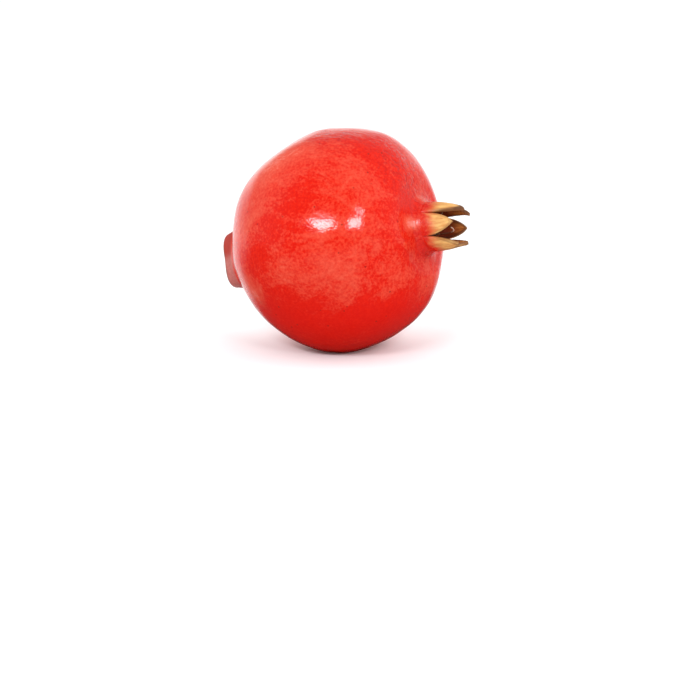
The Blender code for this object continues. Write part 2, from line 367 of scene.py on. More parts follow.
def noise(vector, scale, detail=2.0, roughness=0.5, distortion=0.0):
    inputs = {"Vector": vector, "Scale": scale, "Detail": detail, "Roughness": roughness,
              "Distortion": distortion}
    return make_node(vector.tree, "ShaderNodeTexNoise", inputs)


def normalized(vector):
    return make_node(vector.tree, "ShaderNodeVectorMath", {0: vector}, operation="NORMALIZE")


def dot(vector, direction):
    return make_node(vector.tree, "ShaderNodeVectorMath", {0: vector, 1: direction}, 1,
                     operation="DOT_PRODUCT")


def distance_from_axis(x, y):
    return (x * x + y * y) ** 0.5


def angle_around(x, y):
    return y.calculate("ARCTAN2", x)


def band(along, start, full, fading, end):
    """0 at the start, 1 from full to fading, and 0 again from the end on."""
    return along.rising(start, full) * along.rising(end, fading)


def closeness(outwards, from_crown, around, spread):
    """1 in one direction from the body's middle, and less away from it. The angles are in degrees."""
    pole, turn = math.radians(from_crown), math.radians(around)
    middle = (math.sin(pole) * math.cos(turn), math.sin(pole) * math.sin(turn), math.cos(pole))
    return ((dot(outwards, middle) - 1.0) / (1.0 - math.cos(math.radians(spread)))).exp()


def new_shape_tree(name, sizes):
    """A Geometry Nodes tree with a named input for each size. Returns it, the inputs and the shape."""
    tree = bpy.data.node_groups.new(name, "GeometryNodeTree")
    tree.interface.new_socket("Geometry", in_out="INPUT", socket_type="NodeSocketGeometry")
    for title in sizes:
        tree.interface.new_socket(title, in_out="INPUT", socket_type="NodeSocketFloat")
    tree.interface.new_socket("Geometry", in_out="OUTPUT", socket_type="NodeSocketGeometry")
    source = tree.nodes.new("NodeGroupInput")
    fields = {title: Field(tree, source.outputs[title]) for title in sizes}
    return tree, fields, Field(tree, source.outputs["Geometry"])


def end_shape_tree(shape, material):
    """Realize Instances and Set Material, and out."""
    shape = make_node(shape.tree, "GeometryNodeRealizeInstances", {0: shape})
    shape = make_node(shape.tree, "GeometryNodeSetMaterial", {"Geometry": shape, "Material": material})
    out = shape.tree.nodes.new("NodeGroupOutput")
    connect(out.inputs[0], shape)


def add_shape_tree(obj, tree, sizes):
    modifier = obj.modifiers.new(tree.name, "NODES")
    modifier.node_group = tree
    for item in tree.interface.items_tree:
        if item.in_out == "INPUT" and item.name in sizes:
            modifier[item.identifier] = float(sizes[item.name])


def store(shape, name, field, kind="FLOAT"):
    inputs = {"Geometry": shape, "Name": name, "Value": field}
    return make_node(shape.tree, "GeometryNodeStoreNamedAttribute", inputs, data_type=kind, domain="POINT")


def moved_to(shape, position):
    return make_node(shape.tree, "GeometryNodeSetPosition", {"Geometry": shape, "Position": position})


def position_of(tree):
    return make_node(tree, "GeometryNodeInputPosition", {})


# Objects


def add_object(name, mesh):
    obj = bpy.data.objects.new(name, mesh)
    bpy.context.scene.collection.objects.link(obj)
    return obj


def as_plain_mesh(obj, name):
    """A new object with the evaluated mesh of this one, which is removed."""
    bpy.context.view_layer.update()
    evaluated = obj.evaluated_get(bpy.context.evaluated_depsgraph_get())
    mesh = bpy.data.meshes.new_from_object(evaluated)
    bpy.data.objects.remove(obj)
    mesh.name = name
    return add_object(name, mesh)


def finish_piece(piece, node):
    """Rounds the shading, hides the part's node that the piece stands in for, and hangs the piece on the
    root body.
    """
    piece.data.shade_smooth()
    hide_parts(node)
    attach(piece, "root")


# The turned profiles


def smooth_outline(knots, steps):
    """Points of a smooth curve through the knots, each a place along the axis and a radius."""
    curve = bpy.data.curves.new("outline", "CURVE")
    curve.dimensions = "3D"
    curve.resolution_u = steps
    spline = curve.splines.new("BEZIER")
    spline.bezier_points.add(len(knots) - 1)
    for point, (along, radius) in zip(spline.bezier_points, knots):
        point.co = (radius, 0.0, along)
        point.handle_left_type = "AUTO"
        point.handle_right_type = "AUTO"
    line = as_plain_mesh(add_object("outline", curve), "outline")
    points = [(vertex.co.z, max(0.0, vertex.co.x)) for vertex in line.data.vertices]
    bpy.data.objects.remove(line)
    return points


def body_knots():
    """The outside, from the slits of the crown down to the bottom of the stalk's dimple.

    The body's own knots are polar angles from the crown in degrees, with shares of the body's radius.
    """
    polar = ((31, 0.973), (40, 0.997), (52, 1.012), (66, 1.01), (80, 1.003), (94, 0.996),
             (108, 0.977), (122, 0.957), (136, 0.948), (149, 0.946))
    knots = [
        (NOTCH_AT, NECK_RADIUS),
        (NOTCH_AT - 1.6 * MM, NECK_RADIUS + 1.1 * MM),
        (NOTCH_AT - 3.0 * MM, NECK_RADIUS + 2.3 * MM),
        (0.855 * BODY_RADIUS, 0.33 * BODY_RADIUS),
    ]
    for degrees, share in polar:
        angle = math.radians(degrees)
        knots.append((share * BODY_RADIUS * math.cos(angle), share * BODY_RADIUS * math.sin(angle)))
    knots += [
        (-0.91 * BODY_RADIUS, 1.16 * BOSS_RADIUS),
        (-BOSS_REACH + 2.6 * MM, 1.02 * BOSS_RADIUS),
        (-BOSS_REACH + 0.7 * MM, 0.96 * BOSS_RADIUS),
        (-BOSS_REACH + 0.2 * MM, 0.7 * BOSS_RADIUS),
        (-BOSS_REACH + 0.35 * DIMPLE_DEPTH, DIMPLE_RADIUS + 0.7 * MM),
        (-BOSS_REACH + DIMPLE_DEPTH, DIMPLE_RADIUS),
        (-BOSS_REACH + DIMPLE_DEPTH, 0.0),
    ]
    return knots


def fruit_profile():
    """The whole profile: the cup's floor, up inside the crown, over its rim, and down the outside."""
    inner = NECK_RADIUS - WALL
    points = [(CUP_FLOOR_AT, CUP_FLOOR_RADIUS * step / CUP_FLOOR_RINGS) for step in range(CUP_FLOOR_RINGS)]
    for row in range(CUP_ROWS):
        share = row / CUP_ROWS
        points.append((CUP_FLOOR_AT + share * (NOTCH_AT - CUP_FLOOR_AT),
                       CUP_FLOOR_RADIUS + (inner - CUP_FLOOR_RADIUS) * math.sqrt(share)))
    for row in range(SEPAL_ROWS + 1):
        points.append((NOTCH_AT + SEPAL_LENGTH * row / SEPAL_ROWS, inner))
    for step in range(1, RIM_STEPS):
        turn = math.pi * step / RIM_STEPS
        points.append((NOTCH_AT + SEPAL_LENGTH + RIM_ROUNDING * math.sin(turn),
                       NECK_RADIUS - 0.5 * WALL * (1.0 + math.cos(turn))))
    for row in range(SEPAL_ROWS, 0, -1):
        points.append((NOTCH_AT + SEPAL_LENGTH * row / SEPAL_ROWS, NECK_RADIUS))
    return points + smooth_outline(body_knots(), OUTLINE_STEPS)


def turned(name, points, columns):
    """A profile turned about the Z axis. The profile runs down the outside, top to bottom."""
    mesh = bpy.data.meshes.new(name)
    edges = [(i, i + 1) for i in range(len(points) - 1)]
    mesh.from_pydata([(radius, 0.0, along) for along, radius in points], edges, [])
    obj = add_object(name, mesh)
    screw = obj.modifiers.new("turn", "SCREW")
    screw.axis = "Z"
    screw.steps = columns
    screw.render_steps = columns
    screw.use_merge_vertices = True
    screw.merge_threshold = 0.00001
    return obj


# From the fruit's own axis to where it lies


LIE = {
    "Centre forward": CENTRE.x,
    "Centre sideways": CENTRE.y,
    "Centre height": CENTRE.z,
    "Axis tilt": AXIS_TILT,
    "Crown droop": CROWN_DROOP,
    "Droop from": DROOP_FROM,
    "Boss drop": BOSS_DROP,
}


def in_place(lie, radius, angle, along):
    """A point's place on the floor. Angle 0 is up, and a quarter turn is towards the front."""
    beyond = (along - lie["Droop from"]).at_least(0.0)
    droop = beyond * lie["Crown droop"] * along.rising(DROOP_FROM, NOTCH_AT)
    droop = droop + lie["Boss drop"] * (-along).rising(0.7 * BODY_RADIUS, BOSS_REACH)
    upwards = radius * angle.cos() - droop
    tilt = lie["Axis tilt"]
    return (
        lie["Centre forward"] + along * tilt.cos() - upwards * tilt.sin(),
        lie["Centre sideways"] - radius * angle.sin(),
        lie["Centre height"] + along * tilt.sin() + upwards * tilt.cos(),
    )


def lying(shape, lie):
    """Moves a shape made on the fruit's own axis to where the fruit lies."""
    x, y, along = separated(position_of(shape.tree))
    place = in_place(lie, distance_from_axis(x, y), angle_around(x, y), along)
    return moved_to(shape, combined(shape.tree, *place))


# The skin


def swelling_sum(outwards):
    """The swellings and dents of the body, as a share of its radius."""
    total = 0.0
    for from_crown, around, height, spread in SWELLINGS:
        total = total + closeness(outwards, from_crown, around, spread) * (height / BODY_RADIUS)
    return total


def sepal_value(index, column):
    """One value of the sepal's row in SEPAL_SHAPES."""
    node = index.tree.nodes.new("GeometryNodeIndexSwitch")
    node.data_type = "FLOAT"
    while len(node.index_switch_items) < SEPALS:
        node.index_switch_items.new()
    connect(node.inputs[0], index)
    for i, row in enumerate(SEPAL_SHAPES):
        node.inputs[1 + i].default_value = row[column]
    return Field(index.tree, node.outputs[0])


def skin_tree(material):
    """Shapes the turned fruit, and stores what its material follows.

    That is where a point grew, how high it stands on the crown, whether it is inside the cup, how near it
    is to a sepal's edge, and how dried its sepal is.
    """
    sizes = dict(LIE)
    sizes.update({
        "Rib depth": RIB_DEPTH,
        "Sepal length": SEPAL_LENGTH,
        "Unevenness": 0.16 * MM,
        "Neck folds": 0.18 * MM,
        "Front shoulder": 1.0 * MM,
        "Front waist": 0.7 * MM,
        "Sepal wrinkles": 0.16 * MM,
        "Midrib": 0.28 * MM,
        "Edge width": 1.3 * MM,
    })
    tree, size, shape = new_shape_tree("Shape the fruit", sizes)
    position = position_of(tree)
    x, y, along = separated(position)
    radius = distance_from_axis(x, y)
    angle = angle_around(x, y)
    polar = angle_around(along, radius)
    outwards = normalized(position)

    # The body, with ribs, swellings, the boss's corners, and the folds, waist and shoulder of the neck
    on_body = band(along, -0.93 * BODY_RADIUS, -0.8 * BODY_RADIUS, 0.86 * BODY_RADIUS, NOTCH_AT)
    twist = along.rising(0.0, BODY_RADIUS) * RIB_TWIST
    rib = size["Rib depth"] * (polar.cos() ** 2.0 * 0.9 + 1.0) * ((angle - RIB_PHASE + twist) * RIBS).cos()
    share = (rib + swelling_sum(outwards)) * on_body + 1.0
    on_boss = (along.rising(-0.9 * BODY_RADIUS, -BOSS_REACH + 2.0 * MM)
               * radius.rising(DIMPLE_RADIUS, BOSS_RADIUS))
    share = share + on_boss * BOSS_CORNER_DEPTH * (angle * BOSS_CORNERS - BOSS_CORNER_TURN).cos()
    uneven = noise(position, 60.0, 3.0, 0.55)
    folds = noise(combined(tree, angle.cos(), angle.sin(), along * 18.0), 7.0).rising(0.35, 0.62)
    is_outside = 1.0 - (NECK_RADIUS - 0.6 * WALL - radius).above(0.0) * along.above(CUP_FLOOR_AT - 0.1 * MM)
    body_radius = radius * share - uneven.rising(0.3, 0.75) * size["Unevenness"]
    body_radius = body_radius - folds * size["Neck folds"] * band(along, *NECK_FOLDS) * is_outside
    in_front = (angle - WAIST_FACING).cos().rising(0.3, 0.9) * is_outside
    body_radius = body_radius - band(along, *WAIST) * in_front * size["Front waist"]
    shoulder = closeness(outwards, *SHOULDER_SPOT) * size["Front shoulder"] * is_outside
    body_along = along + shoulder * band(along, *SHOULDER)

    # The crown: each column is pulled down to its sepal's edge and leans with the sepal
    turns = (SEPAL_PHASE - angle) / (2.0 * math.pi / SEPALS)
    nearest = turns.round()
    across = (nearest - turns) * 2.0
    index = nearest.calculate("FLOORED_MODULO", float(SEPALS))
    length, tip_radius, swing, curl, dryness = [sepal_value(index, column) for column in range(5)]
    side = across.abs().at_most(1.0)
    outline = ((1.0 - side ** SEPAL_SIDES) ** SEPAL_TIP * SEPAL_SHARE
               + (1.0 - side) ** 5.0 * (1.0 - SEPAL_SHARE))
    column = ((along - NOTCH_AT) / size["Sepal length"]).at_least(0.0)
    top = length * (outline * (1.0 - NOTCH_LEFT) + NOTCH_LEFT)
    height = column * top
    lean = (tip_radius - 1.0) * height ** 1.8 + curl * height ** 5.0 + 1.0
    lean = lean + (height * math.pi).sin() * SEPAL_BELLY
    thickness = 1.0 - column * (across * across * 0.33 + 0.35)
    middle = NECK_RADIUS - 0.5 * WALL
    fibres = noise(combined(tree, angle.cos(), angle.sin(), height * 0.25), 16.0, 3.0, 0.6) - 0.5
    midrib = (across * across * -60.0).exp() * height.rising(0.05, 0.4) * size["Midrib"]
    relief = (fibres * size["Sepal wrinkles"] * 2.0 - midrib * 0.5) * height.rising(0.0, 0.3)
    crown_radius = lean * middle + (radius - middle) * thickness + relief

    # Body and crown together, laid in place and pressed flat where they meet the floor
    on_crown = along.above(NOTCH_AT)
    final_radius = either(on_crown, crown_radius, body_radius)
    final_angle = either(on_crown, angle + swing * height ** 2.0, angle)
    final_along = either(on_crown, height * size["Sepal length"] + NOTCH_AT, body_along)
    px, py, pz = in_place(size, final_radius, final_angle, final_along)
    pressed = pz.at_least(-REST_BLEND).at_most(REST_BLEND) + REST_BLEND
    pz = pressed * pressed / (4.0 * REST_BLEND) + (pz - REST_BLEND).at_least(0.0)

    # How far a point of a sepal is from its edge, sideways or upwards
    rise = (final_along - NOTCH_AT) / size["Sepal length"]
    filled = (height / (length * SEPAL_SHARE)).at_most(1.0) ** (1.0 / SEPAL_TIP)
    edge_across = (1.0 - filled) ** (1.0 / SEPAL_SIDES)
    sideways = (edge_across - side) * middle * (math.pi / SEPALS)
    to_edge = ((top - height) * size["Sepal length"]).at_most(sideways.at_least(0.0))
    edge = (to_edge / size["Edge width"]).rising(1.0, 0.0) * on_crown

    shape = store(shape, "rise", rise)
    shape = store(shape, "inside", 1.0 - is_outside)
    shape = store(shape, "edge", edge)
    shape = store(shape, "dryness", dryness)
    shape = store(shape, "grown", position, "FLOAT_VECTOR")
    shape = moved_to(shape, combined(tree, px, py, pz))
    end_shape_tree(shape, material)
    return tree, sizes


def make_skin(material):
    skin = turned("skin", fruit_profile(), COLUMNS)
    tree, sizes = skin_tree(material)
    add_shape_tree(skin, tree, sizes)
    skin = as_plain_mesh(skin, "fruit_skin")
    finish_piece(skin, "fruit")


# The dried stamens


def random_between(tree, low, high, seed):
    inputs = {"Min": low, "Max": high, "Seed": seed}
    return make_node(tree, "FunctionNodeRandomValue", inputs, 1, data_type="FLOAT")


def on_ring(around, from_axis, along):
    """A place by its angle around in degrees, its distance from the axis and its place along it."""
    turn = math.radians(around)
    return (from_axis * math.cos(turn), from_axis * math.sin(turn), along)


def thread(tree, start, end, bend, thickness, head, sides=5, steps=7):
    """A thread that leaves its root along the axis and bends to its tip, with a head on it."""
    line = make_node(tree, "GeometryNodeCurvePrimitiveBezierSegment", {
        "Resolution": steps,
        "Start": start,
        "Start Handle": (start[0], start[1], start[2] + 0.5 * (end[2] - start[2])),
        "End Handle": tuple(Vector(end) + Vector(bend)),
        "End": end,
    })
    share = make_node(tree, "GeometryNodeSplineParameter", {})
    line = store(line, "share", share)
    line = make_node(tree, "GeometryNodeSetCurveRadius", {"Curve": line, "Radius": 1.0 - share * 0.35})
    ring = make_node(tree, "GeometryNodeCurvePrimitiveCircle",
                     {"Resolution": sides, "Radius": thickness * 0.5})
    tube = make_node(tree, "GeometryNodeCurveToMesh",
                     {"Curve": line, "Profile Curve": ring, "Fill Caps": True})
    bead = make_node(tree, "GeometryNodeMeshIcoSphere", {"Radius": head, "Subdivisions": 2})
    bead = store(bead, "share", 2.0)
    bead = make_node(tree, "GeometryNodeTransform", {
        "Geometry": bead,
        "Translation": end,
        "Rotation": HEAD_TURN,
        "Scale": HEAD_STRETCH,
    })
    return joined(tree, tube, bead)


def joined(tree, *shapes):
    node = tree.nodes.new("GeometryNodeJoinGeometry")
    for shape in reversed(shapes):
        connect(node.inputs[0], shape)
    return Field(tree, node.outputs[0])


def stamens_tree(material):
    """Threads in a sunflower's order on the disc, longer and leaning more towards its edge.

    The attribute share is -1 on the disc, 0 to 1 from root to tip of a thread, and 2 on a head.
    """
    sizes = dict(LIE)
    sizes.update({
        "Stamens": 64.0,
        "Tuft radius": 4.0 * MM,
        "Thread length": THREAD_LENGTH,
        "Thread thickness": 0.36 * MM,
        "Anther radius": 0.4 * MM,
        "Style thickness": 1.2 * MM,
        "Stigma radius": 1.0 * MM,
    })
    tree, size, disc = new_shape_tree("Set out the stamens", sizes)
    index = make_node(tree, "GeometryNodeInputIndex", {})
    far = ((index + 0.5) / size["Stamens"]) ** 0.5
    turn = index * GOLDEN_ANGLE + random_between(tree, -0.3, 0.3, 3)
    spread = size["Tuft radius"] * (far * 0.72 + 0.28)
    root = combined(tree, turn.cos() * spread, turn.sin() * spread, TUFT_FLOOR + 0.4 * DISC_HEIGHT)
    points = make_node(tree, "GeometryNodePoints", {"Count": size["Stamens"], "Position": root})

    variants = []
    for aside, pull in THREAD_BENDS:
        end = (aside[0] * THREAD_LENGTH, aside[1] * THREAD_LENGTH, THREAD_LENGTH)
        bend = tuple(value * THREAD_LENGTH for value in pull)
        variants.append(thread(tree, (0.0, 0.0, 0.0), end, bend,
                               size["Thread thickness"], size["Anther radius"]))
    pool = make_node(tree, "GeometryNodeGeometryToInstance", {0: variants[0]})
    for variant in reversed(variants[1:]):
        connect(pool.socket.node.inputs[0], variant)
    lean = far * 0.16 + random_between(tree, -0.08, 0.08, 5)
    length = (far * 0.38 + 0.62) * random_between(tree, 0.86, 1.04, 7) * size["Thread length"]
    tuft = make_node(tree, "GeometryNodeInstanceOnPoints", {
        "Points": points,
        "Instance": pool,
        "Pick Instance": True,
        "Instance Index": random_between(tree, 0.0, len(THREAD_BENDS) - 0.01, 11).calculate("FLOOR"),
        "Rotation": combined(tree, 0.0, lean, turn + random_between(tree, -0.5, 0.5, 13)),
        "Scale": combined(tree, 1.0, 1.0, length / THREAD_LENGTH),
    })

    base = TUFT_FLOOR + 0.5 * DISC_HEIGHT
    style_tip = (0.0, 0.3 * MM, base + STYLE_LENGTH)
    style_bend = (0.2 * MM, 0.2 * MM, -2.0 * MM)
    style = thread(tree, (0.0, 0.0, base), style_tip, style_bend,
                   size["Style thickness"], size["Stigma radius"], sides=10, steps=8)
    long_ones = []
    for around, from_axis, tip_around, tip_from_axis, tip_along, hook in LONG_THREADS:
        start = on_ring(around, from_axis * MM, base)
        end = on_ring(tip_around, tip_from_axis * MM, tip_along * MM)
        bend = (start[0] - end[0], start[1] - end[1], hook * MM)
        long_ones.append(thread(tree, start, end, bend,
                                size["Thread thickness"] * 1.4, 0.3 * MM, sides=6, steps=14))
    disc = store(disc, "share", -1.0)
    shape = joined(tree, disc, tuft, style, *long_ones)
    shape = make_node(tree, "GeometryNodeRealizeInstances", {0: shape})
    shape = store(shape, "grown", position_of(tree), "FLOAT_VECTOR")
    end_shape_tree(lying(shape, size), material)
    return tree, sizes


def make_stamens(material):
    profile = [(TUFT_FLOOR + up * DISC_HEIGHT, out * DISC_RADIUS) for up, out in DISC_OUTLINE]
    tuft = turned("tuft", profile, DISC_COLUMNS)
    tree, sizes = stamens_tree(material)
    add_shape_tree(tuft, tree, sizes)
    finish_piece(as_plain_mesh(tuft, "stamen_tuft"), "stamens")


# The stalk's stub


def stub_tree(material):
    """Woody fibres along the stub, and a rough cut end."""
    sizes = dict(LIE)
    sizes.update({
        "Ridge depth": 0.05,
        "Fibre depth": 0.14 * MM,
        "Cut roughness": 0.2 * MM,
    })
    tree, size, shape = new_shape_tree("Grain the stub", sizes)
    position = position_of(tree)
    x, y, along = separated(position)
    radius = distance_from_axis(x, y)
    angle = angle_around(x, y)
    ridges = (angle * 4.0).cos() + (angle * 7.0 + 1.0).cos() * 0.6
    fibres = noise(combined(tree, angle.cos(), angle.sin(), along * 40.0), 9.0, 3.0, 0.6) - 0.5
    rim = radius.rising(0.6 * STUB_RADIUS, STUB_RADIUS)
    new_radius = radius * (ridges * size["Ridge depth"] + 1.0) + fibres * size["Fibre depth"] * 2.0 * rim
    cut = along.rising(STUB_END + 0.5 * MM, STUB_END + 0.1 * MM)
    torn = noise(position, 1400.0, 3.0, 0.6)
    new_along = along + cut * torn * size["Cut roughness"]
    shape = store(shape, "cut", cut * radius.rising(1.02 * STUB_RADIUS, 0.8 * STUB_RADIUS))
    shape = store(shape, "grown", position, "FLOAT_VECTOR")
    shape = moved_to(shape, combined(tree, *in_place(size, new_radius, angle, new_along)))
    end_shape_tree(shape, material)
    return tree, sizes


def make_stub(material):
    root = -BOSS_REACH + DIMPLE_DEPTH - STUB_GAP
    end_radius = 0.86 * STUB_RADIUS
    knots = [
        (root, 0.0),
        (root, 0.8 * STUB_RADIUS),
        (root - 0.5 * MM, STUB_RADIUS),
        (0.4 * root + 0.6 * STUB_END, 0.9 * STUB_RADIUS),
        (STUB_END + 0.25 * MM, 1.02 * STUB_RADIUS),
        (STUB_END, end_radius),
    ]
    rings = [(STUB_END, end_radius * (1.0 - step / STUB_END_RINGS))
             for step in range(1, STUB_END_RINGS + 1)]
    stub = turned("stub", smooth_outline(knots, STUB_OUTLINE_STEPS) + rings, STUB_COLUMNS)
    tree, sizes = stub_tree(material)
    add_shape_tree(stub, tree, sizes)
    finish_piece(as_plain_mesh(stub, "stalk_stub"), "stem_stub")


# Effects that several materials use


def new_effect(name, numbers, outputs):
    """A shader node group with a vector and some numbers going in. Returns it, the inputs and its end."""
    group = bpy.data.node_groups.new(name, "ShaderNodeTree")
    group.interface.new_socket("Vector", in_out="INPUT", socket_type="NodeSocketVector")
    for title in numbers:
        group.interface.new_socket(title, in_out="INPUT", socket_type="NodeSocketFloat")
    for title in outputs:
        group.interface.new_socket(title, in_out="OUTPUT", socket_type="NodeSocketFloat")
    source = group.nodes.new("NodeGroupInput")
    fields = [Field(group, socket) for socket in source.outputs if socket.name]
    return group, fields, group.nodes.new("NodeGroupOutput")


def mottle_effect():
    """Soft clouds: 0 in the gaps and 1 in the clouds, and the plain height of the noise."""
    titles = ("Scale", "Detail", "Roughness", "Distortion", "Low", "High")
    group, fields, end = new_effect("Mottle", titles, ("Mask", "Height"))
    vector, scale, detail, roughness, distortion, low, high = fields
    height = noise(vector, scale, detail, roughness, distortion)
    connect(end.inputs["Mask"], height.rising(low, high))
    connect(end.inputs["Height"], height)
    return group


def streak_effect():
    """Fibres that run along the grown axis: fine across it, and long along it."""
    titles = ("Across", "Along", "Low", "High")
    group, fields, end = new_effect("Streaks", titles, ("Mask",))
    vector, across, lengthwise, low, high = fields
    x, y, along = separated(vector)
    height = noise(combined(group, x * across, y * across, along * lengthwise), 1.0, 3.0, 0.6)
    connect(end.inputs["Mask"], height.rising(low, high))
    return group


def speck_effect():
    """Scattered round specks: the share of cells that have one, and its size in its cell."""
    titles = ("Scale", "Share", "Size")
    group, fields, end = new_effect("Specks", titles, ("Mask",))
    vector, scale, share, size = fields
    distance = make_node(group, "ShaderNodeTexVoronoi", {"Vector": vector, "Scale": scale}, "Distance")
    chance = separated(Field(group, distance.socket.node.outputs["Color"]))[0]
    speck = distance.rising(size, size * 0.4)
    connect(end.inputs["Mask"], speck * (1.0 - chance.above(share)))
    return group


MOTTLE = mottle_effect()
STREAKS = streak_effect()
SPECKS = speck_effect()


# Materials


class Paint:
    """A material's node tree under construction."""

    def __init__(self, name):
        self.material = bpy.data.materials.new(name)
        self.material.use_nodes = True
        self.tree = self.material.node_tree
        self.shader = self.tree.nodes["Principled BSDF"]

    def attribute(self, name, output="Fac"):
        return make_node(self.tree, "ShaderNodeAttribute", {}, output, attribute_name=name)

    def coordinates(self):
        return make_node(self.tree, "ShaderNodeTexCoord", {}, "Object")

    def effect(self, group, vector, output="Mask", **numbers):
        """One of the shared effects with its own values."""
        inputs = {title.capitalize(): value for title, value in numbers.items()}
        node = self.tree.nodes.new("ShaderNodeGroup")
        node.node_tree = group
        for title, value in {"Vector": vector, **inputs}.items():
            connect(node.inputs[title], value)
        return Field(self.tree, node.outputs[output])

    def blend(self, mask, over, under):
        """The over colour where the mask is 1, and the under one where it is 0."""
        colours = {}
        for slot, colour in (("A", under), ("B", over)):
            colours[slot] = colour if isinstance(colour, Field) else (*colour, 1.0)
        return make_node(self.tree, "ShaderNodeMix", {"Factor": mask, **colours}, 2, data_type="RGBA")

    def set(self, name, value):
        connect(self.shader.inputs[name], value)

    def bump(self, height, depth):
        inputs = {"Height": height, "Distance": depth, "Strength": 1.0}
        self.set("Normal", make_node(self.tree, "ShaderNodeBump", inputs))


def grey(level):
    return (level, level, level)


def rind_material():
    paint = Paint("rind")
    grown = paint.attribute("grown", "Vector")
    rise = paint.attribute("rise")
    inside = paint.attribute("inside")
    edge = paint.attribute("edge")
    dryness = paint.attribute("dryness")

    # Strokes of paler pink over saturated red, with painted shade that deepens the red low down where the
    # fruit lies
    x, y, along = separated(grown)
    outwards = normalized(grown)
    stroked = combined(paint.tree, x, y, along * 0.5)
    drift = paint.effect(MOTTLE, grown, scale=32.0, detail=2.0, roughness=0.5, distortion=0.6,
                         low=0.36, high=0.64)
    strokes = paint.effect(MOTTLE, stroked, scale=200.0, detail=4.0, roughness=0.65, distortion=1.0,
                           low=0.36, high=0.70)
    flecks = paint.effect(MOTTLE, grown, scale=1000.0, detail=3.0, roughness=0.65, low=0.34, high=0.72)
    above_floor = separated(paint.coordinates())[2]
    # painted shade: towards the floor the red deepens and the pale strokes fade
    underside_shade = (above_floor + (drift - 0.5) * 6.0 * MM).rising(33.0 * MM, 18.0 * MM)
    pale = drift * 0.22 + strokes * 0.38 + flecks * 0.30 - underside_shade * 0.36 - 0.23
    # the patches hold painted highlights and painted shade on the neck as well as the skin's own mottling
    for from_crown, around, spread, amount in PATCHES_AND_PAINTED_LIGHT:
        pale = pale + closeness(outwards, from_crown, around, spread) * amount
    red = paint.blend(pale.at_least(0.0).at_most(1.0), PINK, paint.blend(flecks, RED, DEEP_RED))
    red = paint.blend(pale.rising(0.75, 1.4), PALEST_PINK, red)
    # painted shade on the underside
    red = paint.blend(underside_shade * 0.5, UNDERSIDE_SHADE_RED, red)
    wrinkles = paint.effect(STREAKS, grown, across=520.0, along=150.0, low=0.50, high=0.64)
    wrinkles = wrinkles * sum(closeness(outwards, *spot) for spot in WRINKLED)
    red = paint.blend(wrinkles * 0.75, WRINKLE_RED, red)
    scars = paint.effect(SPECKS, grown, scale=190.0, share=0.8, size=0.095)
    red = paint.blend(scars * 0.75, SCAR_BROWN, red)

    # The boss: dusty pink, with painted shade in dark red on its top, and a brown face
    boss = along.rising(-40.8 * MM, -42.8 * MM)
    side = paint.blend(flecks * 0.6, BOSS_PINK, BOSS_ROSE)
    # painted shade: darker red on the boss's top
    side = paint.blend(x.rising(1.5 * MM, 5.5 * MM), BOSS_TOP_SHADE_RED, side)
    face = (along + 0.9 * MM * strokes).rising(-44.9 * MM, -46.6 * MM)
    side = paint.blend(face, paint.blend(flecks, BOSS_FACE_TAN, BOSS_FACE_BROWN), side)
    red = paint.blend(boss, side, red)

    # The sepals: red at their foot, tan above, dark at dried tips and edges, brown inside
    streaks = paint.effect(STREAKS, grown, across=900.0, along=150.0, low=0.35, high=0.7)
    tan = paint.blend(streaks, SEPAL_STRAW, SEPAL_TAN)
    dots = paint.effect(SPECKS, grown, scale=1100.0, share=0.5, size=0.32)
    tan = paint.blend(dots * 0.5, SEPAL_DOT_BROWN, tan)
    to_tan = (rise + strokes * 0.14 - 0.07).rising(0.06, 0.50)
    colour = paint.blend(to_tan, tan, red)
    dried_edge = edge * rise.rising(0.1, 0.6) * (dryness * 0.55 + 0.38)
    dried = dryness * rise.rising(0.78, 1.02) * 0.8 + dried_edge
    colour = paint.blend(dried.at_most(1.0), DRIED_BROWN, colour)
    cup = paint.blend(rise.rising(0.2, 0.8) * (streaks * 0.6 + 0.3), CUP_AMBER, CUP_MAROON)
    cup = paint.blend(edge * 0.6, CUP_EDGE_BROWN, cup)
    colour = paint.blend(inside, cup, colour)
    paint.set("Base Color", colour)

    # Glossy skin, duller at the neck and on the boss, dry sepals, and the fine relief of the peel
    paint.set("IOR", 1.5)
    at_neck = along.rising(37.0 * MM, 39.5 * MM)
    glossy = 0.125 + strokes * 0.03 + boss * 0.35 + at_neck * 0.14
    outside = either(to_tan, 0.55 + streaks * 0.15, glossy)
    paint.set("Roughness", either(inside, 0.42 + streaks * 0.2, outside))
    peel = paint.effect(MOTTLE, grown, "Height", scale=1500.0, detail=0.0, roughness=0.5)
    swell = paint.effect(MOTTLE, grown, "Height", scale=300.0, detail=3.0, roughness=0.55)
    paint.bump(peel * 0.4 + swell * 0.85 - wrinkles * 1.3, 0.1 * MM)
    return paint.material


def stamen_material():
    paint = Paint("dried stamens")
    grown = paint.attribute("grown", "Vector")
    share = paint.attribute("share")
    clouds = paint.effect(MOTTLE, grown, scale=900.0, detail=3.0, roughness=0.6, low=0.35, high=0.7)
    threads = paint.blend(share.rising(0.6, 0.76), THREAD_CREAM, THREAD_BROWN)
    colour = paint.blend(share.rising(1.4, 1.6), ANTHER_BROWN, threads)
    colour = paint.blend(share.rising(-0.4, -0.6), DISC_BROWN, colour)
    colour = paint.blend(clouds * 0.45, TUFT_TAN, colour)
    dust = paint.effect(SPECKS, grown, scale=2600.0, share=0.4, size=0.4)
    colour = paint.blend(dust * share.rising(1.2, 1.6) * 0.6, POLLEN_YELLOW, colour)
    paint.set("Base Color", colour)
    paint.set("Roughness", 0.55 + clouds * 0.25)
    paint.bump(clouds, 0.05 * MM)
    return paint.material


